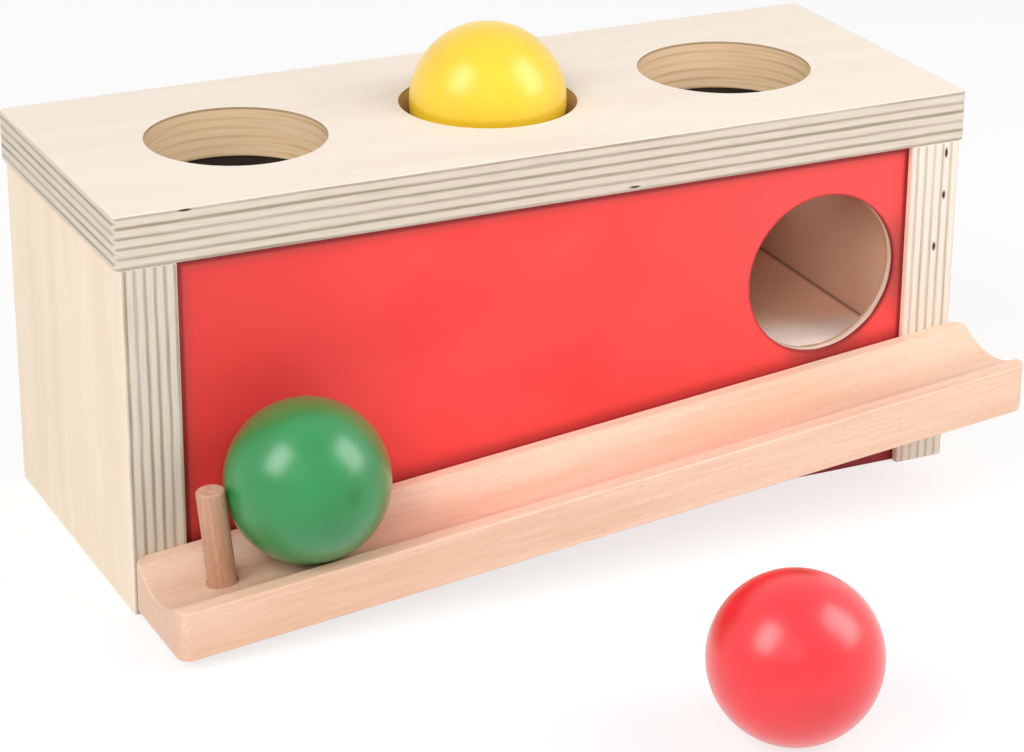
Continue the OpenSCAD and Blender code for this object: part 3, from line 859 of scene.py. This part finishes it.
# A flat ring: a rounded bar's outline swept round a circle
ringTree, ringIn = newTree("retainingRing", {
    "Bore": "Float",
    "Outside": "Float",
    "Thickness": "Float",
    "Edge": "Float",
    "Centre": "Vector",
    "Rubber": "Material",
})
bore, outside = ringIn["Bore"], ringIn["Outside"]
pathRadius = add(ringTree, "ShaderNodeMath", (bore, outside), operation="ADD")
pathRadius = add(ringTree, "ShaderNodeMath", (pathRadius, 0.5), operation="MULTIPLY")
barWidth = add(ringTree, "ShaderNodeMath", (outside, bore), operation="SUBTRACT")
path = add(ringTree, "GeometryNodeCurvePrimitiveCircle", {"Resolution": 128, "Radius": pathRadius})
bar = {"Width": barWidth, "Height": ringIn["Thickness"]}
bar = add(ringTree, "GeometryNodeCurvePrimitiveQuadrilateral", bar)
bar = {"Curve": bar, "Radius": ringIn["Edge"], "Count": 4, "Limit Radius": True}
bar = add(ringTree, "GeometryNodeFilletCurve", bar, mode="POLY")
swept = add(ringTree, "GeometryNodeCurveToMesh", {"Curve": path, "Profile Curve": bar})
swept = add(ringTree, "GeometryNodeSetShadeSmooth", {"Geometry": swept})
swept = add(ringTree, "GeometryNodeTransform", {"Geometry": swept, "Translation": ringIn["Centre"]})
finishTree(ringTree, swept, ringIn["Rubber"])

ringSizes = {"bore": 19.2 * mm, "edge": 0.4 * mm}
rubber = cutRubber("cut rubber sheet")
rings = {}
for node in ringNodes:
    low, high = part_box(node)
    rings[node] = grow(node + "_cut", ringTree, {
        "Bore": ringSizes["bore"],
        "Outside": (high.x - low.x) / 2,
        "Thickness": high.z - low.z,
        "Edge": ringSizes["edge"],
        "Centre": (low + high) / 2,
        "Rubber": rubber,
    })


# One pan head screw, its head down, with a cross recess
screwSizes = {
    "shank": 1.25 * mm,
    "length": 10 * mm,
    "head": 2.75 * mm,
    "headHeight": 1.6 * mm,
    "armWidth": 0.45 * mm,
    "armReach": 1.55 * mm,
    "recess": 0.8 * mm,
    "flatShare": 0.68,
    "perHole": 4,
    "steps": 48,
    "seed": 7,
}


def panHeadScrew():
    size = screwSizes
    steps = size["steps"]
    # Rings from the middle of the head's face, over its round edge, along the shank to the tip
    shares = (0.06, 0.12, 0.18, 0.26, 0.34, 0.42, 0.5, 0.56, 0.62, 0.68)
    rings = [(size["head"] * share, 0.0) for share in shares]
    for a in (math.pi / 2 * i / 6 for i in range(1, 7)):
        share = size["flatShare"] + (1 - size["flatShare"]) * math.sin(a)
        rings.append((size["head"] * share, size["headHeight"] * (1 - math.cos(a))))
    rings.append((size["shank"], size["headHeight"]))
    rings.append((size["shank"], size["headHeight"] + size["length"] - size["shank"]))
    rings.append((size["shank"] * 0.05, size["headHeight"] + size["length"]))
    points, faces = [(0, 0, size["recess"])], []
    for radius, rise in rings:
        for a in turns(steps):
            px, py = radius * math.cos(a), radius * math.sin(a)
            alongX = max(abs(px) / size["armReach"], abs(py) / size["armWidth"])
            alongY = max(abs(py) / size["armReach"], abs(px) / size["armWidth"])
            wall = min(max((1.15 - min(alongX, alongY)) / 0.3, 0), 1)
            sunk = size["recess"] * wall * (1 - 0.45 * radius / size["armReach"])
            points.append((px, py, rise or sunk))
    for i in range(steps):
        faces.append((0, 1 + (i + 1) % steps, 1 + i))
    for ring in range(len(rings) - 1):
        for i in range(steps):
            a, b = 1 + ring * steps + i, 1 + ring * steps + (i + 1) % steps
            faces.append((a, b, b + steps, a + steps))
    faces.append([1 + (len(rings) - 1) * steps + i for i in range(steps)])
    mesh = bpy.data.meshes.new("panHeadScrew")
    mesh.from_pydata(points, [], faces)
    mesh.update()
    return mesh


# The screws stand on a circle under each hole, each turned by hand
screwTree, screwIn = newTree("ringScrews", {
    "Holes": "Int",
    "Hole Pitch": "Float",
    "Screws": "Int",
    "Circle Radius": "Float",
    "First Hole": "Vector",
    "Seed": "Int",
    "Steel": "Material",
})
pitch = add(screwTree, "ShaderNodeCombineXYZ", {"X": screwIn["Hole Pitch"]})
holeLine = {"Count": screwIn["Holes"], "Start Location": screwIn["First Hole"], "Offset": pitch}
holeLine = add(screwTree, "GeometryNodeMeshLine", holeLine, mode="OFFSET")
circle = {"Vertices": screwIn["Screws"], "Radius": screwIn["Circle Radius"]}
circle = add(screwTree, "GeometryNodeMeshCircle", circle)
circle = add(screwTree, "GeometryNodeTransform", {"Geometry": circle, "Rotation": (0, 0, math.pi / 4)})
circles = add(screwTree, "GeometryNodeInstanceOnPoints", {"Points": holeLine, "Instance": circle})
spots = add(screwTree, "GeometryNodeRealizeInstances", (circles,))
turn = {0: (0, 0, 0), 1: (0, 0, math.pi / 2), "Seed": screwIn["Seed"]}
turn = add(screwTree, "FunctionNodeRandomValue", turn, data_type="FLOAT_VECTOR")
screwsSet = {"Points": spots, "Instance": screwIn["Geometry"], "Rotation": turn}
screwsSet = add(screwTree, "GeometryNodeInstanceOnPoints", screwsSet)
finishTree(screwTree, screwsSet, screwIn["Steel"])

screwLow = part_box("ring_screws")[0]
ringLow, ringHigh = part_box("left_retaining_ring")
holeCentres = [(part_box(node)[0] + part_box(node)[1]) / 2 for node in ringNodes]
lap = (ringHigh.x - ringLow.x) / 2 - boardSizes["holeRadius"] * mm
steel = zincPlatedSteel("zinc plated steel")
screws = grow("ringScrews", screwTree, {
    "Holes": len(ringNodes),
    "Hole Pitch": holeCentres[1].x - holeCentres[0].x,
    "Screws": screwSizes["perHole"],
    "Circle Radius": boardSizes["holeRadius"] * mm + lap / 2,
    "First Hole": (holeCentres[0].x, holeCentres[0].y, screwLow.z),
    "Seed": screwSizes["seed"],
    "Steel": steel,
}, panHeadScrew())
print("rings and screws made")


# What each piece rides on and stands for
dressed = {
    "top_board": (topBoard, "ply_board"),
    "left_side_panel": (leftPanel, "ply_board"),
    "right_side_panel": (rightPanel, "ply_board"),
    "front_panel": (frontPanel, "red_ply"),
    "back_panel": (backPanel, "thin_ply"),
    "ramp_board": (rampBoard, "thin_ply"),
    "trough": (trough, "beech"),
    "stop_peg": (peg, "peg_beech"),
    "ring_screws": (screws, "screw_steel"),
}
for node, ring in rings.items():
    dressed[node] = (ring, "ring_rubber")
for node, (piece, slot) in dressed.items():
    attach(piece, "box")
    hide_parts(node)
for node, ball in balls.items():
    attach(ball, node)
    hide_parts(node)
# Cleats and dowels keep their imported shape
for node in ("left_ramp_cleat", "right_ramp_cleat", "top_dowels", "trough_dowels"):
    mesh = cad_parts[node].data
    mesh.materials.clear()
    mesh.materials.append(beech)
print("pieces placed")


# Floor and surroundings
stageLook = {
    "floor": "#f4f3f1",
    "floorDark": "#f2f1ef",
    "floorSize": 8.0,
    "whiteShare": 0.7,
    "whiteStrength": 1.06,
    "world": 0.2,
}


def lookedAt(tree):
    # 1 for the camera and for reflections, 0 for the light that falls on the object
    path = add(tree, "ShaderNodeLightPath")
    seen = path.outputs["Is Camera Ray"]
    for kind in ("Is Glossy Ray", "Is Transmission Ray"):
        seen = add(tree, "ShaderNodeMath", (seen, path.outputs[kind]), operation="MAXIMUM")
    return seen


# Matt white paper: pale and even, bright where it is looked at
settings = {"Roughness": 0.9, "Specular IOR Level": 0.0}
floorMaterial, floorTree, floorShader = newMaterial("matt white floor", settings)
mottle = cloudy(floorTree, millimetres(floorTree), (300, 300, 300))
mottle = add(floorTree, "ShaderNodeMapRange", (mottle, 0.3, 0.7), **smoothly)
floorColour = layered(floorTree, stageLook["floor"], [(mottle, stageLook["floorDark"])])
dressShader(floorTree, floorShader, floorColour)
white = add(floorTree, "ShaderNodeEmission", ("#ffffff", stageLook["whiteStrength"]))
share = (lookedAt(floorTree), stageLook["whiteShare"])
share = add(floorTree, "ShaderNodeMath", share, operation="MULTIPLY")
mixed = add(floorTree, "ShaderNodeMixShader", (share, floorShader, white))
floorTree.links.new(mixed.outputs[0], floorTree.nodes["Material Output"].inputs["Surface"])
floorMesh = bpy.data.meshes.new("floor")
half = stageLook["floorSize"] / 2
floorCorners = [(-half, -half, 0), (half, -half, 0), (half, half, 0), (-half, half, 0)]
floorMesh.from_pydata(floorCorners, [], [(0, 1, 2, 3)])
floorMesh.materials.append(floorMaterial)
floor = bpy.data.objects.new("floor", floorMesh)
bpy.context.scene.collection.objects.link(floor)

scene = bpy.context.scene
world = bpy.data.worlds.new("white studio")
scene.world = world
world.use_nodes = True
background = world.node_tree.nodes["Background"]
brightness = (lookedAt(world.node_tree), 1 - stageLook["world"], stageLook["world"])
brightness = add(world.node_tree, "ShaderNodeMath", brightness, operation="MULTIPLY_ADD")
background.inputs["Color"].default_value = colour("#ffffff")
world.node_tree.links.new(brightness.outputs[0], background.inputs["Strength"])
print("floor made")


# Where the photograph was taken from, in metres and radians, with lens and sensor in millimetres
cameraPlace = {
    "at": (-0.41405, -0.80215, 0.44575),
    "yaw": -0.4436,
    "pitch": -0.3996,
    "roll": 0.0058,
    "lens": 114.0,
    "sensor": 36,
    "nearest": 0.01,
}
yaw, pitchAngle = cameraPlace["yaw"], cameraPlace["pitch"]
flatShare = math.cos(pitchAngle)
forward = Vector((-math.sin(yaw) * flatShare, math.cos(yaw) * flatShare, math.sin(pitchAngle)))
sideways = Vector((math.cos(yaw), math.sin(yaw), 0))
upward = sideways.cross(forward)
cameraAxes = Matrix((sideways, upward, -forward)).transposed()
cameraAxes = cameraAxes @ Matrix.Rotation(cameraPlace["roll"], 3, "Z")
cameraData = bpy.data.cameras.new("camera")
cameraData.lens = cameraPlace["lens"]
cameraData.sensor_width = cameraPlace["sensor"]
cameraData.clip_start = cameraPlace["nearest"]
camera = bpy.data.objects.new("camera", cameraData)
camera.matrix_world = Matrix.Translation(cameraPlace["at"]) @ cameraAxes.to_4x4()
scene.collection.objects.link(camera)
scene.camera = camera


# Two tall soft boxes, whose streaks show on the balls, and wide fills in front, overhead and behind
# Each stands towards a direction in the camera's axes (right, up and back to the camera) from the aim
lampAim = Vector((0, -0.02, 0.05))
studioLamps = {
    "leftSoftBox": {"towards": (-0.60, 0.44, 0.67), "distance": 2.0, "size": (0.89, 1.21), "power": 18.0},
    "rightSoftBox": {"towards": (0.79, 0.53, 0.30), "distance": 1.0, "size": (0.56, 0.75), "power": 5.4},
    "frontFill": {"towards": (-0.1, 0.2, 0.97), "distance": 1.7, "size": (0.9, 0.75), "power": 11.6},
    "topFill": {"towards": (0.5, 0.72, 0.5), "distance": 1.6, "size": (1.2, 1.2), "power": 1.6},
    "backFill": {"towards": (-0.32, 0.50, -0.79), "distance": 1.8, "size": (1.6, 0.5), "power": 11.0},
}
for name, lampLook in studioLamps.items():
    data = bpy.data.lights.new(name, "AREA")
    data.shape = "RECTANGLE"
    data.size, data.size_y = lampLook["size"]
    data.energy = lampLook["power"]
    lamp = bpy.data.objects.new(name, data)
    away = (cameraAxes @ Vector(lampLook["towards"])).normalized()
    spot = lampAim + away * lampLook["distance"]
    lamp.matrix_world = Matrix.Translation(spot) @ away.to_track_quat("Z", "Y").to_matrix().to_4x4()
    # The fills only brighten; their mirror image would veil the balls
    lamp.visible_glossy = name.endswith("SoftBox")
    scene.collection.objects.link(lamp)
scene.view_settings.view_transform = "Standard"

print("scene ready")
